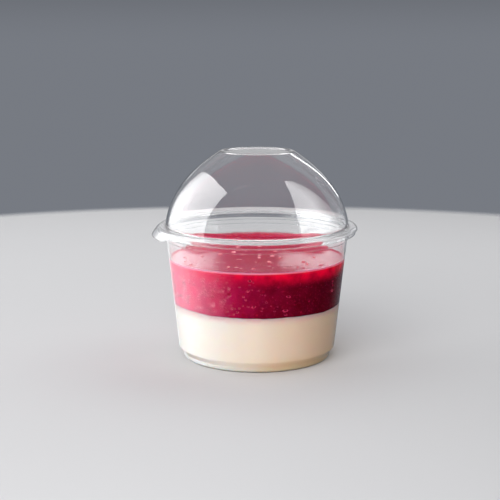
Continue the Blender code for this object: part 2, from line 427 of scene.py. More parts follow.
def blended(tree, factor, first, second):
    """Mix of two colours, each a socket or (r, g, b); returns the colour output."""
    node = tree.nodes.new("ShaderNodeMix")
    node.data_type = "RGBA"
    tree.links.new(factor, node.inputs["Factor"])
    for label, value in (("A", first), ("B", second)):
        socket = [s for s in node.inputs if s.name == label and s.type == "RGBA"][0]
        if isinstance(value, bpy.types.NodeSocket):
            tree.links.new(value, socket)
        else:
            socket.default_value = (*value, 1.0)
    return [s for s in node.outputs if s.type == "RGBA"][0]


print("node helpers:", [f.__name__ for f in (math_node, times, mapped, blended)])


# %% The unevenness group
def unevenness_group():
    """Height = noise less a half; Mask = that times contrast, plus a half, held between 0 and 1."""
    group = bpy.data.node_groups.new("unevenness", "ShaderNodeTree")
    group.interface.new_socket(name="Vector", in_out="INPUT", socket_type="NodeSocketVector")
    for label in ("Scale", "Contrast"):
        group.interface.new_socket(name=label, in_out="INPUT", socket_type="NodeSocketFloat")
    for label in ("Mask", "Height"):
        group.interface.new_socket(name=label, in_out="OUTPUT", socket_type="NodeSocketFloat")
    given, made = group.nodes.new("NodeGroupInput"), group.nodes.new("NodeGroupOutput")
    cloud = group.nodes.new("ShaderNodeTexNoise")
    cloud.inputs["Detail"].default_value = 3.0
    cloud.inputs["Roughness"].default_value = 0.55
    for label in ("Vector", "Scale"):
        group.links.new(given.outputs[label], cloud.inputs[label])
    height = math_node(group, "SUBTRACT", cloud.outputs["Fac"], 0.5)
    wide = times(group, height, given.outputs["Contrast"])
    group.links.new(math_node(group, "ADD", wide, 0.5, clamp=True), made.inputs["Mask"])
    group.links.new(height, made.inputs["Height"])
    return group


UNEVENNESS = unevenness_group()


def uneven(tree, vector, scale, contrast):
    """Places the unevenness group; returns its mask and height outputs."""
    node = tree.nodes.new("ShaderNodeGroup")
    node.node_tree = UNEVENNESS
    tree.links.new(vector, node.inputs["Vector"])
    node.inputs["Scale"].default_value = scale
    node.inputs["Contrast"].default_value = contrast
    return node.outputs["Mask"], node.outputs["Height"]


print("group sockets:", [s.name for s in UNEVENNESS.interface.items_tree])


# %% Material helpers
def new_material(name):
    """A material with its tree, Principled shader, Object coordinates and their x, y and z."""
    material = bpy.data.materials.new(name)
    material.use_nodes = True
    tree = material.node_tree
    where = tree.nodes.new("ShaderNodeTexCoord").outputs["Object"]
    split = tree.nodes.new("ShaderNodeSeparateXYZ")
    tree.links.new(where, split.inputs["Vector"])
    return material, tree, tree.nodes["Principled BSDF"], where, split.outputs


def bumped(tree, shader, height, distance):
    """Feeds a height through a Bump node to the shader's normal."""
    node = tree.nodes.new("ShaderNodeBump")
    node.inputs["Distance"].default_value = distance
    tree.links.new(height, node.inputs["Height"])
    tree.links.new(node.outputs["Normal"], shader.inputs["Normal"])


def let_light_in(shader, weight, radius, depth):
    """Light wanders under the surface: red, green and blue reach as far as depth times radius."""
    shader.inputs["Subsurface Weight"].default_value = weight
    shader.inputs["Subsurface Radius"].default_value = radius
    shader.inputs["Subsurface Scale"].default_value = depth


print("materials so far:", len(bpy.data.materials))

# %% [markdown]
# ## Clear plastic
# Clear plastic shows by its reflections and by the bright and dark lines at its edges, not by a
# colour. The Principled shader does both with transmission. Lamps would be blocked by it, because
# a shadow ray doesn't bend, so shadow rays get a plain transparent shader instead. A very faint,
# broad waviness from the mould keeps the mirror images from being too perfect.
#
# One recipe makes five finishes. The lid has the index of refraction of real plastic, which draws
# its edges. The pot's wall has a low one, because the wall is thin, the fillings touch it and it
# hardly bends the view there. A coat with the real index gives its gloss back: soft on the outside,
# which is a little frosted by the mould, and sharp on the inside. Where the sheet is seen through
# its thickness, at the rings under the rim and on the lid's skirt, it looks a bit milky.

# %% Clear plastic materials
COAT_IOR = 1.42
POT_TINT = (0.97, 0.975, 0.98)
LID_TINT = (0.98, 0.985, 0.99)
TINT_STEP = 0.02
MILKY = 0.86


def clear_plastic(name, tint, ior, roughness, coat, clear, wave_scale, wave_height):
    """Principled with transmission, wavy by a slow noise, swapped for transparency on shadow rays.

    coat is the weight and roughness of the clear coat, and clear the share that isn't milky.
    """
    material, tree, shader, where, _ = new_material(name)
    shader.inputs["Transmission Weight"].default_value = clear
    shader.inputs["IOR"].default_value = ior
    shader.inputs["Coat IOR"].default_value = COAT_IOR
    shader.inputs["Coat Weight"].default_value = coat[0]
    shader.inputs["Coat Roughness"].default_value = coat[1]
    mask, height = uneven(tree, where, wave_scale, 1.6)
    rough = mapped(tree, mask, 0.0, 1.0, 0.6 * roughness, 1.4 * roughness)
    tree.links.new(rough, shader.inputs["Roughness"])
    paler = tuple(min(1.0, c + TINT_STEP) for c in tint)
    tree.links.new(blended(tree, mask, tint, paler), shader.inputs["Base Color"])
    bumped(tree, shader, height, wave_height)
    through = tree.nodes.new("ShaderNodeBsdfTransparent")
    through.inputs["Color"].default_value = (*tint, 1.0)
    path = tree.nodes.new("ShaderNodeLightPath")
    mix = tree.nodes.new("ShaderNodeMixShader")
    tree.links.new(path.outputs["Is Shadow Ray"], mix.inputs["Fac"])
    tree.links.new(shader.outputs["BSDF"], mix.inputs[1])
    tree.links.new(through.outputs["BSDF"], mix.inputs[2])
    tree.links.new(mix.outputs["Shader"], tree.nodes["Material Output"].inputs["Surface"])
    return material


POT_PLASTIC = clear_plastic("pot_plastic_clear", POT_TINT, 1.14, 0.09, (0.6, 0.38), 1.0, 55.0, 0.03 * MM)
POT_INSIDE = clear_plastic("pot_plastic_inside", POT_TINT, 1.14, 0.03, (1.0, 0.05), 1.0, 55.0, 0.03 * MM)
LID_PLASTIC = clear_plastic("lid_plastic_clear", LID_TINT, 1.42, 0.02, (0.0, 0.03), 1.0, 30.0, 0.03 * MM)
SKIRT_PLASTIC = clear_plastic("lid_plastic_skirt", POT_TINT, 1.20, 0.10, (0.0, 0.1), MILKY, 60.0, 0.05 * MM)
EDGE_PLASTIC = clear_plastic("pot_plastic_edges", POT_TINT, 1.14, 0.10, (0.3, 0.2), MILKY, 60.0, 0.05 * MM)
print("plastics:", [material.name for material in bpy.data.materials if "plastic" in material.name])

# %% [markdown]
# ## The two clear shells
# With the outlines and the plastic ready, each shell is one call. Each one takes the place of its
# faceted solid, rides on the same body and keeps the solid's form.


# %% Shells
def finish_piece(obj, material, slot, *nodes):
    """Gives a piece its material, body and the solids that it stands for; slot is not used."""
    obj.data.materials.append(material)
    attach(obj, BODY)
    if nodes:
        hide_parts(*nodes)
    print(obj.name, len(obj.data.vertices), "points")
    return obj


pot_shell = finish_piece(turned("pot_shell", pot_outline()), POT_PLASTIC, "pot_plastic", "pot")
lid_shell = finish_piece(
    turned("lid_shell", lid_outline(), push=flare_tab), LID_PLASTIC, "lid_plastic", "dome_lid")

# %% [markdown]
# The finishes are shared out face by face. A face knows its middle and the way it looks, so a test
# on these two picks the inside of the pot, the small ledges of the rings and the lid's skirt, and
# the whole list of choices is written into the mesh at once.

# %% Faces by finish
NEAR_WALL = 0.1 * MM
RING_MARGIN = 0.3 * MM
LEDGE_SLOPE = 0.35


def of_faces(mesh, what):
    """The "center" or "normal" of each face, as rows of x, y and z."""
    values = np.empty(3 * len(mesh.polygons), dtype=np.float32)
    mesh.polygons.foreach_get(what, values)
    return values.reshape(-1, 3)


def share_out(obj, choice, *materials):
    """Adds materials to a piece; face i gets the material number choice[i]."""
    for material in materials:
        obj.data.materials.append(material)
    choice = choice.astype(np.int32)
    obj.data.polygons.foreach_set("material_index", choice)
    print(obj.name, "faces by finish:", np.bincount(choice).tolist())


def pot_choice(mesh):
    """0 on the outside, 1 on the inside, 2 on the ledges of the rings under the rim."""
    middle, facing = of_faces(mesh, "center"), of_faces(mesh, "normal")
    radius, height = np.hypot(middle[:, 0], middle[:, 1]), middle[:, 2]
    inside = (radius < radius_inside(height) + NEAR_WALL) & (height > FLOOR - NEAR_WALL)
    ringed = (height > WALL_TOP[1] - RING_MARGIN) & (height < RIM_TOP - LIP_DROP + RING_MARGIN)
    ledges = ~inside & ringed & (np.abs(facing[:, 2]) > LEDGE_SLOPE)
    return inside + 2 * ledges


def lid_choice(mesh):
    """0 on the dome, 1 on all that lies outside its foot."""
    middle = of_faces(mesh, "center")
    return np.hypot(middle[:, 0], middle[:, 1]) > DOME_RADIUS + NEAR_WALL


share_out(pot_shell, pot_choice(pot_shell.data), POT_INSIDE, EDGE_PLASTIC)
share_out(lid_shell, lid_choice(lid_shell.data), SKIRT_PLASTIC)

# %% [markdown]
# ## The set cream
# Panna cotta is cream set with a little gelatine: a smooth, pale body that lets light in a few
# millimetres before it comes out again, which softens its shading. It touches the wall all round,
# so the piece reaches a hair into the plastic and no air gap shows. Its upper edge was disturbed a
# little when the coulis was poured on, so a sum of sines round the pot makes it uneven. Both
# fillings are pushed by the same wave, and so they still meet.

# %% Fill sizes
INTO_WALL = 0.40 * MM
INTO_FLOOR = 0.45 * MM
CREAM_LEVEL = 27.0 * MM
COULIS_LEVEL = 48.0 * MM
CREAM_WAVE = 0.22 * MM
WAVE_REACH = 7.0 * MM


def waves(angle, counts, seed):
    """Sum of sines of the angle with these whole counts, random phases and amplitudes of 1/sqrt(count)."""
    draw = np.random.default_rng(seed)
    phases = draw.uniform(0, 2 * np.pi, len(counts))
    return sum(np.sin(n * angle + p) / math.sqrt(n) for n, p in zip(counts, phases))


def follow_contact(grid):
    """Lifts points by the contact line's wave: in full at the cream's level, not at all beyond its reach."""
    share = np.clip(1 - np.abs(grid[..., 2] - CREAM_LEVEL) / WAVE_REACH, 0, 1)
    angle = np.arctan2(grid[..., 1], grid[..., 0])
    moved = grid.copy()
    moved[..., 2] += share * CREAM_WAVE * waves(angle, (2, 5, 9, 17, 31, 53), 3)
    return moved


def fill_side(low, high, count):
    """Stations up the wall, a hair inside the plastic, from height low to height high."""
    heights = np.linspace(low, high, count)
    return [(r + INTO_WALL, z) for r, z in zip(radius_inside(heights), heights)]


def cream_outline():
    """From the middle of the top out to the wall, down it and back along the floor to the middle."""
    inner_round = BASE_CORNER - WALL
    low = FLOOR - INTO_FLOOR
    centre = (BASE_RADIUS - BASE_CORNER, low + inner_round + INTO_WALL)
    corner = [(r, max(z, low)) for r, z in arc(centre, inner_round + INTO_WALL, -90, -10)]
    side = fill_side(FOOT_TOP[1], CREAM_LEVEL, 40)
    top = line(side[-1], (0.0, CREAM_LEVEL), 30)
    return ([(0.0, low)] + corner + side + top[1:])[::-1]


cream = turned("set_cream_body", cream_outline(), push=follow_contact)
print("cream:", len(cream.data.polygons), "faces")

# %% [markdown]
# The cream's colour changes slowly: nearly white at the left, where the light falls, a painted warm
# beige shade away from it, a painted yellow shade low down at the right, and stained pink just under
# the coulis, which seeps into it.

# %% Cream finish
CREAM_PALE = (0.91, 0.84, 0.77)
CREAM_PALER = (0.94, 0.88, 0.82)
# Painted shade: a warm beige towards the right and a yellow low down at the right.
CREAM_PAINTED_SHADE = (0.89, 0.64, 0.455)
CREAM_PAINTED_FOOT_SHADE = (0.90, 0.62, 0.37)
CREAM_STAIN = (0.93, 0.46, 0.46)
STAIN_DEPTH = 4.2 * MM
STAIN_OVER = 0.3 * MM


def cream_material():
    """Pale to painted beige shade along X, mixed with painted yellow shade low at the right, then pink stain
    near the level.
    """
    material, tree, shader, where, xyz = new_material("set_cream_soft")
    cloud, grain = uneven(tree, where, 90.0, 1.8)
    pale = blended(tree, cloud, CREAM_PALE, CREAM_PALER)
    # painted shade: pale at the left, where the light falls, turning to a warm beige shade at the right
    body = blended(tree, mapped(tree, xyz["X"], -34 * MM, 40 * MM), pale, CREAM_PAINTED_SHADE)
    # painted shade: a yellower tone low down at the right, away from the light
    low = mapped(tree, xyz["Z"], 9 * MM, 2 * MM)
    foot = times(tree, low, mapped(tree, xyz["X"], -14 * MM, 16 * MM))
    warm = blended(tree, times(tree, foot, 0.85), body, CREAM_PAINTED_FOOT_SHADE)
    near = mapped(tree, xyz["Z"], CREAM_LEVEL - STAIN_DEPTH, CREAM_LEVEL + STAIN_OVER)
    seep, _ = uneven(tree, where, 320.0, 2.6)
    stain = times(tree, near, mapped(tree, seep, 0.0, 1.0, 0.55, 1.0))
    tree.links.new(blended(tree, stain, warm, CREAM_STAIN), shader.inputs["Base Color"])
    shader.inputs["Roughness"].default_value = 0.5
    shader.inputs["Specular IOR Level"].default_value = 0.0
    let_light_in(shader, 1.0, (1.0, 0.7, 0.5), 5 * MM)
    bumped(tree, shader, grain, 0.05 * MM)
    return material


finish_piece(cream, cream_material(), "set_cream", "panna_cotta")

# %% [markdown]
# ## The coulis
# A coulis is strained fruit: thick, wet and deep red. Its top is nearly level, climbs the wall by
# half a millimetre, and has low bumps over the pulp. The bumps are a sum of plane waves on the
# grid, which gives an even, random-looking surface that has no seam anywhere.

# %% Coulis shape
MENISCUS_RISE = 0.6 * MM
MENISCUS_WIDTH = 2.2 * MM
MENISCUS_JAG = 0.12 * MM
PULP_HEIGHT = 0.014 * MM
PULP_RADIUS = 40 * MM
PULP_FADE = 4 * MM
TOP_RINGS = 70


def pulp(x, y, seed, lengths, count):
    """Sum of plane waves with random directions and phases and these wavelengths, of unit mean size."""
    draw = np.random.default_rng(seed)
    total = np.zeros_like(x)
    for _ in range(count):
        way, phase = draw.uniform(0, 2 * np.pi, 2)
        length = draw.uniform(*lengths)
        total += np.sin((x * np.cos(way) + y * np.sin(way)) * 2 * np.pi / length + phase)
    return total / math.sqrt(count)


def coulis_outline():
    """From the middle of the top out to the wall, over the raised edge, down the wall and back below."""
    edge = COULIS_LEVEL + MENISCUS_RISE
    edge_radius = float(radius_inside(edge)) + INTO_WALL
    flat = line((0.0, COULIS_LEVEL), (edge_radius - MENISCUS_WIDTH, COULIS_LEVEL), TOP_RINGS)
    climb = []
    for share in np.linspace(0, 1, 9)[1:]:
        climb.append((edge_radius - (1 - share) * MENISCUS_WIDTH, COULIS_LEVEL + MENISCUS_RISE * share**3))
    side = fill_side(CREAM_LEVEL, edge, 44)[::-1]
    below = line(side[-1], (0.0, CREAM_LEVEL), 12)
    return flat + climb + side[1:] + below[1:]


def shape_coulis(grid):
    """Follows the cream below; the pulp's bumps fade out near the wall, and sines roughen the edge."""
    x, y, z = grid[..., 0], grid[..., 1], grid[..., 2]
    radius = np.hypot(x, y)
    top = (z > COULIS_LEVEL - 0.01 * MM) & (radius < radius_inside(COULIS_LEVEL) - 0.5 * MM)
    fade = np.clip((PULP_RADIUS - radius) / PULP_FADE, 0, 1)
    coarse, fine = pulp(x, y, 5, (5 * MM, 9 * MM), 9), pulp(x, y, 6, (2 * MM, 3.5 * MM), 12)
    at_edge = z > COULIS_LEVEL + MENISCUS_RISE / 2
    jag = MENISCUS_JAG * waves(np.arctan2(y, x), (7, 19, 37, 61), 11) * at_edge
    moved = follow_contact(grid)
    moved[..., 2] += top * fade * PULP_HEIGHT * (coarse + 0.35 * fine) + jag
    return moved


coulis = turned("coulis_body", coulis_outline(), push=shape_coulis)
print("coulis:", len(coulis.data.polygons), "faces")

# %% [markdown]
# Its colour is what makes it look like fruit, and much of it is painted light and shade: a painted
# light pink-red glow where light enters at the left, painted dark shade at the right, away from the
# light, a painted bright red band where light passes through the upper edge, and a painted pale
# highlight line where the raised edge meets the wall. The side is matt under the plastic, while the
# top is wet and mirrors the room and has base colours painted lighter, as it faces the light, so the
# same function makes two finishes.

# %% Coulis finish
COULIS_SHADE = (0.06, 0.0006, 0.006)
COULIS_SPECK = (0.60, 0.012, 0.07)
# Painted light: a bright glow band just under the level and a pale highlight line at the wall, with their
# heights.
COULIS_PAINTED_GLOW_BAND = (0.88, 0.002, 0.045)
COULIS_PAINTED_EDGE_HIGHLIGHT = (0.96, 0.24, 0.36)
COULIS_IOR = 1.36
PAINTED_BAND_FROM = COULIS_LEVEL - 7.5 * MM
PAINTED_BAND_TO = COULIS_LEVEL - 0.3 * MM
PAINTED_HIGHLIGHT_FROM = COULIS_LEVEL - 0.45 * MM
PAINTED_HIGHLIGHT_TO = COULIS_LEVEL - 0.05 * MM
WET_FACING = 0.3


def coulis_material(name, dark, light, glow, rim, gloss, roughness, bump):
    """Dark and light clouds, with painted shade, painted glow, specks, a painted bright band and a
    painted pale edge highlight mixed over them.

    The painted shade and glow follow X, the band and edge follow Z; rim scales all that belongs to
    the wall alone.
    """
    material, tree, shader, where, xyz = new_material(name)
    cloud, soft = uneven(tree, where, 190.0, 2.6)
    fleck, grain = uneven(tree, where, 1100.0, 3.0)
    # painted shade: darker towards the right, away from the light
    shade = mapped(tree, xyz["X"], 8 * MM, 38 * MM, 0.0, 0.75 * rim)
    body = blended(tree, shade, blended(tree, cloud, dark, light), COULIS_SHADE)
    # painted light: a glow at the left, where light enters
    lit_side = math_node(tree, "POWER", mapped(tree, xyz["X"], 20 * MM, -42 * MM), 1.6)
    painted_glow_share = times(tree, lit_side, mapped(tree, cloud, 0.0, 1.0, 0.8, 1.0))
    with_painted_glow = blended(tree, painted_glow_share, body, glow)
    speckled = blended(tree, mapped(tree, fleck, 0.60, 1.0, 0.0, 0.2), with_painted_glow, COULIS_SPECK)
    # painted light: a bright band just under the level, where light passes through the upper edge
    near_top = mapped(tree, xyz["Z"], PAINTED_BAND_FROM, PAINTED_BAND_TO)
    patchy = times(tree, near_top, mapped(tree, cloud, 0.0, 0.9, 0.55, 1.15))
    painted_band = times(tree, patchy, mapped(tree, xyz["X"], -36 * MM, 30 * MM, 0.25 * rim, 1.0 * rim))
    with_painted_band = blended(tree, painted_band, speckled, COULIS_PAINTED_GLOW_BAND)
    # painted highlight: a pale line along the raised edge at the wall
    edge = times(tree, mapped(tree, xyz["Z"], PAINTED_HIGHLIGHT_FROM, PAINTED_HIGHLIGHT_TO), rim)
    tree.links.new(blended(tree, edge, with_painted_band, COULIS_PAINTED_EDGE_HIGHLIGHT), shader.inputs["Base Color"])
    rough = mapped(tree, fleck, 0.2, 0.9, 0.8 * roughness, 1.3 * roughness)
    tree.links.new(rough, shader.inputs["Roughness"])
    shader.inputs["IOR"].default_value = COULIS_IOR
    shader.inputs["Specular IOR Level"].default_value = gloss
    let_light_in(shader, 1.0, (1.0, 0.05, 0.08), 6 * MM)
    bumped(tree, shader, math_node(tree, "ADD", grain, soft), bump)
    return material


# Both finishes carry the painted glow at the left; the wet top's base colours are painted lighter than the
# side's, as the top faces the light.
COULIS_SIDE = coulis_material(
    "coulis_at_wall", dark=(0.13, 0.001, 0.010), light=(0.21, 0.002, 0.020), glow=(0.94, 0.008, 0.16),
    rim=1.0, gloss=0.0, roughness=0.5, bump=0.02 * MM)
COULIS_TOP = coulis_material(
    "coulis_wet_top", dark=(0.50, 0.003, 0.048), light=(0.62, 0.005, 0.066), glow=(0.80, 0.010, 0.12),
    rim=0.0, gloss=0.1, roughness=0.07, bump=0.012 * MM)
finish_piece(coulis, COULIS_SIDE, "berry_coulis", "coulis")
share_out(coulis, of_faces(coulis.data, "normal")[:, 2] > WET_FACING, COULIS_TOP)

# %% [markdown]
# ## Seeds
# Berry seeds are about two millimetres long and flattened. The ones on top lie where the solid has
# them, half sunk. A ball is a grid of two angles, so all balls are made at once: one unit ball,
# carried by an array of matrices and shifts. Each point also keeps how far it lies from the ball's
# first axis, which a finish can read to paint a highlight ring.


# %% Balls
def balls(name, centres, frames, rings=8, steps=12):
    """Unit balls carried by frames (n, 3, 3) and centres (n, 3), as one mesh.

    A point of the unit ball is (sin t cos a, sin t sin a, cos t), with t from pole to pole.
    """
    tilt = np.linspace(0, np.pi, rings + 1)[1:-1, None]
    angle = 2 * np.pi * np.arange(steps) / steps
    across = np.sin(tilt)
    ball = np.broadcast_arrays(across * np.cos(angle), across * np.sin(angle), np.cos(tilt))
    ball = np.vstack([np.stack(ball, -1).reshape(-1, 3), [[0, 0, 1], [0, 0, -1]]])
    here = np.arange((rings - 1) * steps).reshape(rings - 1, steps)
    there = np.roll(here, -1, axis=1)
    quads = np.stack([here[:-1], here[1:], there[1:], there[:-1]], axis=-1).reshape(-1, 4)
    top = np.stack([np.full(steps, len(ball) - 2), here[0], there[0]], axis=-1)
    low = np.stack([here[-1], np.full(steps, len(ball) - 1), there[-1]], axis=-1)
    points = np.einsum("nij,kj->nki", frames, ball) + centres[:, None, :]
    shift = np.arange(len(centres))[:, None, None] * len(ball)
    faces = (quads + shift).reshape(-1, 4).tolist()
    faces += (top + shift).reshape(-1, 3).tolist() + (low + shift).reshape(-1, 3).tolist()
    obj = mesh_object(name, points.reshape(-1, 3), faces)
    share = np.tile(np.hypot(ball[:, 1], ball[:, 2]), len(centres))
    obj.data.attributes.new("rim", "FLOAT", "POINT").data.foreach_set("value", share.astype(np.float32))
    return obj


def turned_frames(size, turn):
    """Matrices that scale the unit ball by size (n, 3), then turn it about Z by turn (n)."""
    cos, sin, zero, one = np.cos(turn), np.sin(turn), np.zeros_like(turn), np.ones_like(turn)
    rotation = np.stack([cos, -sin, zero, sin, cos, zero, zero, zero, one], axis=-1).reshape(-1, 3, 3)
    return rotation * size[:, None, :]


print("a quarter turn:", turned_frames(np.ones((1, 3)), np.array([math.pi / 2])).round(3).tolist())

# %% Seeds on top
SEED_COUNT = 26
SEED_SIZE = (1.2 * MM, 0.75 * MM, 0.6 * MM)
SEED_SPACING = 5.0 * MM
SEED_SPREAD = 37.0 * MM
SEED_DRAW = 7


def seed_places():
    """Random places on the coulis, no two closer than the spacing: rows of x, y and turn."""
    draw = np.random.default_rng(SEED_DRAW)
    places = []
    while len(places) < SEED_COUNT:
        radius = SEED_SPREAD * math.sqrt(draw.random())
        angle = math.tau * draw.random()
        x, y = radius * math.cos(angle), radius * math.sin(angle)
        if all(math.hypot(x - a, y - b) > SEED_SPACING for a, b, _ in places):
            places.append((x, y, math.tau * draw.random()))
    return np.array(places)


def seed_material(name, body, spot, gloss):
    """A glossy skin whose colour wanders between two reds from seed to seed."""
    material, tree, shader, where, _ = new_material(name)
    mask, height = uneven(tree, where, 260.0, 2.5)
    tree.links.new(blended(tree, mask, body, spot), shader.inputs["Base Color"])
    tree.links.new(mapped(tree, mask, 0.0, 1.0, 0.22, 0.4), shader.inputs["Roughness"])
    shader.inputs["Specular IOR Level"].default_value = gloss
    let_light_in(shader, 0.6, (1.0, 0.3, 0.3), 0.8 * MM)
    bumped(tree, shader, height, 0.04 * MM)
    return material


SEED_WET = seed_material("seed_wet", (0.70, 0.07, 0.12), (0.90, 0.28, 0.34), 0.5)
places = seed_places()
centres = np.column_stack([places[:, :2], np.full(SEED_COUNT, COULIS_LEVEL)])
frames = turned_frames(np.tile(SEED_SIZE, (SEED_COUNT, 1)), places[:, 2])
seeds = finish_piece(balls("seeds_on_top", centres, frames, 10, 18), SEED_WET, "berry_coulis", "coulis")

# %% [markdown]
# ## What is sunk in the coulis
# Air bubbles, seeds and shreds of skin press against the inside of the wall. They are flat balls
# that stand proud of the coulis by less than a tenth of a millimetre, inside the plastic, so they
# show through it. Most of the bubbles are at the left, where the coulis was poured in, and a few
# float on top. The ball's first axis is its thin one: it points outwards where a piece lies against
# the wall, and up where it floats.


# %% Flat balls on the wall and on top
WALL_LOW = CREAM_LEVEL + 1.2 * MM
WALL_HIGH = COULIS_LEVEL - 3 * MM
FLOAT_SPREAD = 36 * MM
POURED_AT = (225, 28)


def flat_frames(out, along, half, longer, lean, thick):
    """Matrices of flat balls: thin along out, and turned by lean in the plane across it."""
    up = np.cross(out, along)
    cos, sin = np.cos(lean)[:, None], np.sin(lean)[:, None]
    first = (along * cos + up * sin) * longer[:, None]
    second = (up * cos - along * sin) * half[:, None]
    return np.stack([out * thick, first, second], axis=-1)


def at_wall(name, count, seed, size_range, proud, material, left_pull):
    """Flat balls against the wall: random angle and height, size drawn by a power law from the range.

    left_pull is the share whose angle is drawn about the place where the coulis was poured in.
    """
    draw = np.random.default_rng(seed)
    angle = draw.uniform(0, 2 * np.pi, count)
    left = draw.random(count) < left_pull
    angle[left] = np.radians(draw.normal(*POURED_AT, left.sum()))
    height = draw.uniform(WALL_LOW, WALL_HIGH, count)
    half = size_range[0] * (size_range[1] / size_range[0]) ** (draw.random(count) ** 2)
    longer = half * draw.uniform(1.0, 1.8, count)
    lean = draw.uniform(0, np.pi, count)
    depth = radius_inside(height) + INTO_WALL - proud
    centre = np.column_stack([depth * np.cos(angle), depth * np.sin(angle), height])
    out = np.column_stack([np.cos(angle), np.sin(angle), np.zeros(count)])
    along = np.column_stack([-np.sin(angle), np.cos(angle), np.zeros(count)])
    frames = flat_frames(out, along, half, longer, lean, 2 * proud)
    return finish_piece(balls(name, centre, frames), material, "berry_coulis")


def on_top(name, count, seed, size_range, thick, material):
    """Flat balls on the front half of the coulis: random place and size, a little sunk."""
    draw = np.random.default_rng(seed)
    radius = FLOAT_SPREAD * np.sqrt(draw.uniform(0.05, 1, count))
    angle = np.radians(draw.uniform(190, 320, count))
    half = draw.uniform(*size_range, count)
    centre = np.column_stack([radius * np.cos(angle), radius * np.sin(angle), np.full(count, COULIS_LEVEL)])
    up = np.tile([0.0, 0.0, 1.0], (count, 1))
    along = np.tile([1.0, 0.0, 0.0], (count, 1))
    longer = half * draw.uniform(1, 1.3, count)
    frames = flat_frames(up, along, half, longer, draw.uniform(0, np.pi, count), thick)
    return finish_piece(balls(name, centre, frames), material, "berry_coulis")


print("sunk between", round(WALL_LOW / MM, 1), "and", round(WALL_HIGH / MM, 1), "mm")

# %% [markdown]
# A bubble behind plastic is seen as a pale ring, because its round edge throws the light back, so
# the ring is a painted highlight. The ring follows the shape, so its finish reads the value that the
# ball's points keep, and a noise breaks it up, as no two bubbles are lit alike. The bubbles are
# also painted lighter towards the side that the light enters.


# %% Bubble finish
def bubble_material(name, dark, shaded_highlight_ring, lit, lit_highlight_ring):
    """Red in the middle with a broken pale ring, a painted highlight, and painted lighter towards the side
    that the light enters.
    """
    material, tree, shader, where, xyz = new_material(name)
    mask, height = uneven(tree, where, 800.0, 3.0)
    # painted light: lighter towards the left, where the light enters
    lit_side = mapped(tree, xyz["X"], 2 * MM, -42 * MM)
    middle = blended(tree, lit_side, dark, lit)
    highlight_ring_colour = blended(tree, lit_side, shaded_highlight_ring, lit_highlight_ring)
    read = tree.nodes.new("ShaderNodeAttribute")
    read.attribute_name = "rim"
    broken = mapped(tree, mask, 0.1, 0.8, 0.25, 1.0)
    # painted highlight: the pale ring near the ball's edge
    highlight_ring = times(tree, mapped(tree, read.outputs["Fac"], 0.35, 0.8), broken)
    tree.links.new(blended(tree, highlight_ring, middle, highlight_ring_colour), shader.inputs["Base Color"])
    tree.links.new(mapped(tree, mask, 0.0, 1.0, 0.25, 0.45), shader.inputs["Roughness"])
    shader.inputs["Specular IOR Level"].default_value = 0.1
    bumped(tree, shader, height, 0.02 * MM)
    return material


# Painted highlight rings and painted lighter middles on the lit side, for bubbles at the wall and on top.
BUBBLE_HIGHLIGHT_RING = bubble_material(
    "bubble_highlight_ring", dark=(0.16, 0.001, 0.015), shaded_highlight_ring=(0.72, 0.03, 0.11),
    lit=(0.66, 0.006, 0.08), lit_highlight_ring=(0.99, 0.38, 0.52))
BUBBLE_WET = bubble_material(
    "bubble_wet", dark=(0.46, 0.003, 0.04), shaded_highlight_ring=(0.86, 0.20, 0.28),
    lit=(0.56, 0.004, 0.05), lit_highlight_ring=(0.95, 0.32, 0.42))
SEED_DARK = seed_material("seed_dark", (0.24, 0.002, 0.020), (0.42, 0.004, 0.04), 0.0)
FLECK_PALE = seed_material("fleck_pale", (0.30, 0.004, 0.04), (0.52, 0.02, 0.09), 0.0)
print("finishes:", BUBBLE_HIGHLIGHT_RING.name, BUBBLE_WET.name, SEED_DARK.name, FLECK_PALE.name)

# %% Bubbles, seeds and flecks
sunk = [
    at_wall("bubbles_at_wall", 170, 21, (0.40 * MM, 1.0 * MM), 0.07 * MM, BUBBLE_HIGHLIGHT_RING, 0.8),
    on_top("bubbles_on_top", 24, 24, (0.4 * MM, 0.9 * MM), 0.2 * MM, BUBBLE_WET),
    at_wall("seeds_at_wall", 130, 22, (0.3 * MM, 0.9 * MM), 0.06 * MM, SEED_DARK, 0.3),
    at_wall("flecks_at_wall", 220, 23, (0.08 * MM, 0.26 * MM), 0.05 * MM, FLECK_PALE, 0.1)]

# %% [markdown]
# ## The film on the back wall
# When the pot was tipped, coulis ran up the wall and left a thin film at the back. It is a turned
# body whose upper edge follows a height that depends on the angle: high over a quarter turn at the
# back, then falling to the level. Its upper edge is worn away by an opacity that reads how far up
# the film a point lies.

# %% Film
FILM_LOW = 47.4 * MM
FILM_TOP = 53.9 * MM
FILM_HIDDEN = 48.2 * MM
FILM_THICK = 0.28 * MM
FILM_IN_WALL = 0.1 * MM
FILM_RIPPLE = 0.08 * MM
FILM_MIDDLE = math.radians(90)
FILM_FULL = math.radians(41)
FILM_GONE = math.radians(66)


def film_edge(angle):
    """Upper edge of the film: a smooth step in the angle from the back, plus a few small waves."""
    turn = np.abs(np.angle(np.exp(1j * (angle - FILM_MIDDLE))))
    share = np.clip((FILM_GONE - turn) / (FILM_GONE - FILM_FULL), 0, 1)
    share = share**2 * (3 - 2 * share)
    ripple = FILM_RIPPLE * waves(angle, (6, 11, 23, 41, 67), 31)
    return FILM_HIDDEN + share * (FILM_TOP - FILM_HIDDEN + ripple)


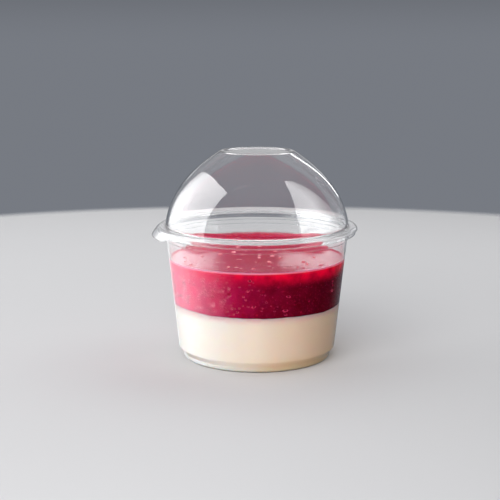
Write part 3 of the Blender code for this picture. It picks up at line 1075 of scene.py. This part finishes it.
def shape_film(grid):
    """The outline's radius of 1 or 2 picks the side in the wall or the free side, its height the share."""
    side = np.hypot(grid[..., 0], grid[..., 1])
    angle = np.arctan2(grid[..., 1], grid[..., 0])
    share = grid[..., 2]
    height = FILM_LOW + share * (film_edge(angle) - FILM_LOW)
    inner = radius_inside(height)
    free = inner - FILM_THICK * np.sqrt(np.clip(1 - share, 0, 1))
    radius = np.where(side < 1.5, inner + FILM_IN_WALL, free)
    return np.stack([radius * np.cos(angle), radius * np.sin(angle), height], axis=-1)


def film_outline(count=24):
    """Up the free side and down the side in the wall, as (which side, share of the height)."""
    shares = np.linspace(0, 1, count)
    return [(2.0, s) for s in shares[:-1]] + [(1.0, s) for s in shares[::-1]]


film = turned("coulis_film", film_outline(), push=shape_film, loop=True)
rise = np.repeat([share for _, share in film_outline()], TURN_STEPS).astype(np.float32)
film.data.attributes.new("rise", "FLOAT", "POINT").data.foreach_set("value", rise)
print("film:", len(film.data.polygons), "faces")

# %% Film finish
FILM_DARK = (0.58, 0.04, 0.115)
FILM_LIGHT = (0.72, 0.07, 0.175)
FILM_WORN = 0.62


def film_material():
    """Bright thin coulis, its opacity fading over the top of its rise with a ragged edge."""
    material, tree, shader, where, _ = new_material("coulis_film_thin")
    cloud, height = uneven(tree, where, 300.0, 2.0)
    tree.links.new(blended(tree, cloud, FILM_DARK, FILM_LIGHT), shader.inputs["Base Color"])
    tree.links.new(mapped(tree, cloud, 0.0, 1.0, 0.2, 0.35), shader.inputs["Roughness"])
    let_light_in(shader, 1.0, (1.0, 0.15, 0.2), 1.5 * MM)
    read = tree.nodes.new("ShaderNodeAttribute")
    read.attribute_name = "rise"
    ragged = times(tree, math_node(tree, "SUBTRACT", cloud, 0.5), 0.05)
    worn = math_node(tree, "ADD", read.outputs["Fac"], ragged)
    tree.links.new(mapped(tree, worn, 1.0, FILM_WORN), shader.inputs["Alpha"])
    bumped(tree, shader, height, 0.05 * MM)
    return material


finish_piece(film, film_material(), "berry_coulis")

# %% [markdown]
# ## The floor
# The pot stands on a plain pale table. The table fades to nothing at its round edge, so that it
# ends softly against the grey behind it, and mirror images don't see it, because a glossy copy of
# its far edge would draw a line across the dome.

# %% Floor
FLOOR_RADIUS = 0.50
FLOOR_FADE = 0.03
FLOOR_COLOUR = (0.70, 0.70, 0.71)


def floor_material():
    """Pale matt table, a little uneven, with an opacity that ends over the last of its radius."""
    material, tree, shader, where, _ = new_material("table_pale")
    shader.inputs["Roughness"].default_value = 0.8
    shader.inputs["Specular IOR Level"].default_value = 0.1
    cloud, _ = uneven(tree, where, 6.0, 1.0)
    darker = tuple(0.97 * c for c in FLOOR_COLOUR)
    tree.links.new(blended(tree, cloud, FLOOR_COLOUR, darker), shader.inputs["Base Color"])
    across = tree.nodes.new("ShaderNodeVectorMath")
    across.operation = "LENGTH"
    tree.links.new(where, across.inputs[0])
    inside = mapped(tree, across.outputs["Value"], FLOOR_RADIUS, FLOOR_RADIUS - FLOOR_FADE)
    tree.links.new(inside, shader.inputs["Alpha"])
    return material


floor = turned("floor", line((0.0, 0.0), (FLOOR_RADIUS, 0.0), 3), 96)
floor.data.materials.append(floor_material())
floor.visible_glossy = False
print("floor radius:", FLOOR_RADIUS, "m")

# %% [markdown]
# ## The room
# Clear plastic is only as good as the room that it mirrors. The world gives that room by direction:
# soft grey behind the pot, a dark front, a grey upper part that shows in mirror images alone, and
# a bright ceiling. Light that has already met a matt surface sees a dimmer ceiling and none of the
# mirrored greys, so the room doesn't flood the pot with light.

# %% World
BEHIND_GREY = (0.184, 0.197, 0.224)
FRONT_DARK = (0.008, 0.008, 0.009)
ROOM_GREY = (0.22, 0.22, 0.23)
WALL_GREY = (0.40, 0.40, 0.42)
CEILING = (0.75, 0.75, 0.77)
CEILING_ON_MATT = 0.45


def make_world():
    """Colour by the direction's X, Y and Z: smooth steps mix front, behind, upper wall and ceiling."""
    world = bpy.data.worlds.new("studio")
    bpy.context.scene.world = world
    world.use_nodes = True
    tree = world.node_tree
    split = tree.nodes.new("ShaderNodeSeparateXYZ")
    tree.links.new(tree.nodes.new("ShaderNodeTexCoord").outputs["Generated"], split.inputs["Vector"])
    x, y, z = split.outputs
    depth = tree.nodes.new("ShaderNodeLightPath").outputs["Diffuse Depth"]
    mirrored = mapped(tree, depth, 1.0, 0.0)
    low = mapped(tree, z, 0.13, -0.02)
    aside = mapped(tree, math_node(tree, "ABSOLUTE", x, 0.0), 0.15, 0.30)
    behind = times(tree, mapped(tree, y, 0.45, 0.85), math_node(tree, "MAXIMUM", low, aside))
    colour = blended(tree, times(tree, mapped(tree, z, 0.0, 0.3), mirrored), FRONT_DARK, ROOM_GREY)
    colour = blended(tree, behind, colour, BEHIND_GREY)
    upper = times(tree, mapped(tree, z, 0.22, 0.55), mapped(tree, y, 0.0, 0.5))
    colour = blended(tree, times(tree, upper, mirrored), colour, WALL_GREY)
    above = times(tree, mapped(tree, z, 0.50, 0.95), mapped(tree, depth, 0.0, 1.0, 1.0, CEILING_ON_MATT))
    tree.links.new(blended(tree, above, colour, CEILING), tree.nodes["Background"].inputs["Color"])


make_world()
print("grey behind:", BEHIND_GREY)

# %% [markdown]
# ## The lamps
# A large soft box at the left gives the pot its big mirror image, and a key light from the front
# left and a few fills light all that is matt.
# A lamp does two things: it sheds light on matt surfaces, and it shows as a mirror image in the
# plastic and on the wet coulis. Here each lamp does only one of them, so that each can be set to
# the brightness it needs, and a lamp that is mirrored can be kept to one piece by light linking.
# The box is therefore made three times: for the lid, for the pot and for matt surfaces. A lamp
# behind the pot that is mirrored in the coulis is seen through the pot's wall, so it is linked to
# the pot. Real soft boxes are brighter in the middle than at their edges, so a mirrored lamp may
# fall off across its width or height.

# %% Lamp helpers
from mathutils import Matrix, Vector

MATT, MIRROR = "diffuse", "glossy"


def mirrored_only(tree, strength):
    """Strength in mirror images alone: 0 after a matt surface, and 0 straight through clear plastic."""
    path = tree.nodes.new("ShaderNodeLightPath").outputs
    clear = math_node(tree, "LESS_THAN", path["Diffuse Depth"], 0.5)
    straight = times(tree, math_node(tree, "GREATER_THAN", path["Transmission Depth"], 0.5),
                     math_node(tree, "LESS_THAN", path["Glossy Depth"], 0.5))
    return times(tree, math_node(tree, "SUBTRACT", clear, straight, clamp=True), strength)


def lit_only(source, *pieces):
    """Lets a light reach these pieces alone."""
    group = bpy.data.collections.new(source.name + "_reaches")
    for piece in pieces:
        group.objects.link(piece)
    source.light_linking.receiver_collection = group


def lamp(name, centre, toward, size, radiance, seen_in, pieces=(), falls=()):
    """Rectangular area lamp; its watts are radiance times pi times its area.

    Each of falls is a direction, a range and two strengths for a smooth step over the share across it.
    """
    data = bpy.data.lights.new(name, "AREA")
    data.shape = "RECTANGLE"
    data.size, data.size_y = size
    data.energy = radiance * math.pi * size[0] * size[1]
    if seen_in == MIRROR:
        data.use_nodes = True
        tree = data.node_tree
        strength = mirrored_only(tree, 1.0)
        across = tree.nodes.new("ShaderNodeSeparateXYZ")
        tree.links.new(tree.nodes.new("ShaderNodeNewGeometry").outputs["Parametric"], across.inputs["Vector"])
        for way, *steps in falls:
            strength = times(tree, strength, mapped(tree, across.outputs[way], *steps))
        tree.links.new(strength, tree.nodes["Emission"].inputs["Strength"])
    obj = bpy.data.objects.new(name, data)
    away = (Vector(centre) - Vector(toward)).normalized()
    side = Vector((0, 0, 1)).cross(away).normalized()
    turn = Matrix((side, away.cross(side), away)).transposed()
    obj.matrix_world = Matrix.Translation(centre) @ turn.to_4x4()
    bpy.context.scene.collection.objects.link(obj)
    obj.visible_camera = False
    obj.visible_diffuse = seen_in == MATT
    obj.visible_glossy = obj.visible_transmission = seen_in == MIRROR
    if pieces:
        lit_only(obj, *pieces)
    print(name, round(data.energy, 2), "W")


# %% The soft box at the left
BOX_NEAR = (-250 * MM, -125 * MM)
BOX_NEARER = (-186 * MM, -363 * MM)
BOX_FAR = (-462 * MM, 667 * MM)
BOX_TOP = 480 * MM
BOX_BELOW = -160 * MM
BOX_LOWER = -320 * MM
BOX_OVER_TABLE = 100 * MM


def soft_box(name, near, low, radiance, seen_in, pieces=(), falls=()):
    """The big box at the left: an upright rectangle between its near and far edge on the ground plan."""
    near, far = Vector(near), Vector(BOX_FAR)
    middle, run = (near + far) / 2, far - near
    centre = (middle.x, middle.y, (BOX_TOP + low) / 2)
    facing = (centre[0] + run.y, centre[1] - run.x, centre[2])
    lamp(name, centre, facing, (run.length, BOX_TOP - low), radiance, seen_in, pieces, falls)


soft_box("left_box_lid", BOX_NEAR, BOX_BELOW, 6.6, MIRROR, [lid_shell],
         [("X", 0.0, 0.85, 0.22, 1.0), ("Y", 0.05, 0.6, 0.35, 1.0)])
soft_box("left_box_pot", BOX_NEARER, BOX_LOWER, 9.0, MIRROR, [pot_shell],
         [("X", 1.0, 0.60, 0.0, 1.0), ("X", 0.3, 0.70, 0.22, 1.0)])
soft_box("left_box_light", BOX_NEAR, BOX_OVER_TABLE, 1.3, MATT)

# %% [markdown]
# The other lamps follow in this order: the box's image behind the pot, the key light, two lights
# that reach only the red pieces, three panels whose images lie on the wet top and on the lid's flat
# top, a panel that glints on the back edges, and two fills for the floor and the shadow side.

# %% The other lamps
RED = [coulis, seeds, *sunk]
lamp("left_box_behind", (-0.285, 0.78, -0.08), (0, 0, -0.08), (0.39, 0.64), 1.1, MIRROR, [pot_shell])
lamp("front_key", (-0.24, -0.61, 0.32), (0, 0, 0.03), (0.60, 0.50), 5.15, MATT)
lamp("coulis_right", (0.30, -0.30, 0.45), (0, 0, 0.04), (0.30, 0.30), 3.4, MATT, RED)
lamp("coulis_left", (-0.42, -0.12, 0.12), (0, 0, 0.04), (0.30, 0.30), 3.0, MATT, RED)
lamp("top_mirror_left", (-0.168, 0.75, 0.19), (0, 0, 0.05), (0.28, 0.14), 1.9, MIRROR, [pot_shell],
     [("X", 0.0, 0.14, 0.0, 1.0)])
lamp("top_mirror_right", (0.170, 0.75, 0.19), (0, 0, 0.05), (0.28, 0.14), 1.65, MIRROR, [pot_shell])
lamp("lid_top_mirror", (0, 0.75, 0.18), (0, 0, 0.10), (0.60, 0.07), 0.5, MIRROR, [lid_shell])
lamp("back_light", (0.0, 0.75, 0.60), (0, 0, 0.08), (0.50, 0.22), 2.0, MIRROR)
lamp("right_fill", (0.445, 0.207, 0.40), (0, 0, 0.04), (0.40, 0.40), 1.6, MATT)
lamp("back_fill", (0.0, 0.45, 0.50), (0, 0.25, 0), (0.60, 0.30), 1.6, MATT)

# %% [markdown]
# ## A card at the right
# A white card behind the right shoulder of the lid shows there as a bright sail with a curved upper
# edge. An area lamp can only be a rectangle, so the card is a flat face with that outline and a
# glow that is weaker near the lid and low down. It is linked to the lid, and only mirror images
# show it. A thin strip beside it draws the bright line along the dome's right edge.

# %% Card and strip
CARD_CORNERS = (
    (201, 81, 0), (940, -660, 0), (940, -660, 700), (330, -48, 690), (290, -8, 650),
    (253, 29, 481), (238, 44, 337), (222, 60, 180), (201, 81, 100))
CARD_NEAR = 200 * MM
CARD_SOFT = 320 * MM
CARD_FAR = 800 * MM
CARD_GLOW = (6.2, 5.0)


def card_material():
    """Emission from the near to the far glow along X, times a step up from the near edge and the foot."""
    material = bpy.data.materials.new("card_glow")
    material.use_nodes = True
    tree = material.node_tree
    tree.nodes.remove(tree.nodes["Principled BSDF"])
    split = tree.nodes.new("ShaderNodeSeparateXYZ")
    tree.links.new(tree.nodes.new("ShaderNodeTexCoord").outputs["Object"], split.inputs["Vector"])
    x, _, z = split.outputs
    glow = mapped(tree, x, CARD_NEAR, CARD_FAR, *CARD_GLOW)
    glow = times(tree, glow, mapped(tree, x, CARD_NEAR, CARD_SOFT, 0.28, 1.0))
    glow = times(tree, glow, mapped(tree, z, 50 * MM, 260 * MM, 0.40, 1.0))
    emit = tree.nodes.new("ShaderNodeEmission")
    tree.links.new(mirrored_only(tree, glow), emit.inputs["Strength"])
    tree.links.new(emit.outputs["Emission"], tree.nodes["Material Output"].inputs["Surface"])
    return material


card = mesh_object("right_card", np.array(CARD_CORNERS, float) * MM, [tuple(range(len(CARD_CORNERS)))])
card.data.materials.append(card_material())
card.visible_camera = card.visible_diffuse = card.visible_shadow = False
lit_only(card, lid_shell)
lamp("strip_light", (0.175, 0.325, 0.30), (0, 0, 0.08), (0.02, 0.46), 4.0, MIRROR, [lid_shell])
print("card corners:", len(CARD_CORNERS))

# %% [markdown]
# ## Tone and the end
# The Standard view keeps the colours as they were chosen, without the film-like curve that would
# grey the reds.

# %% Picture tone
bpy.context.scene.view_settings.view_transform = "Standard"
print("tone:", bpy.context.scene.view_settings.view_transform)
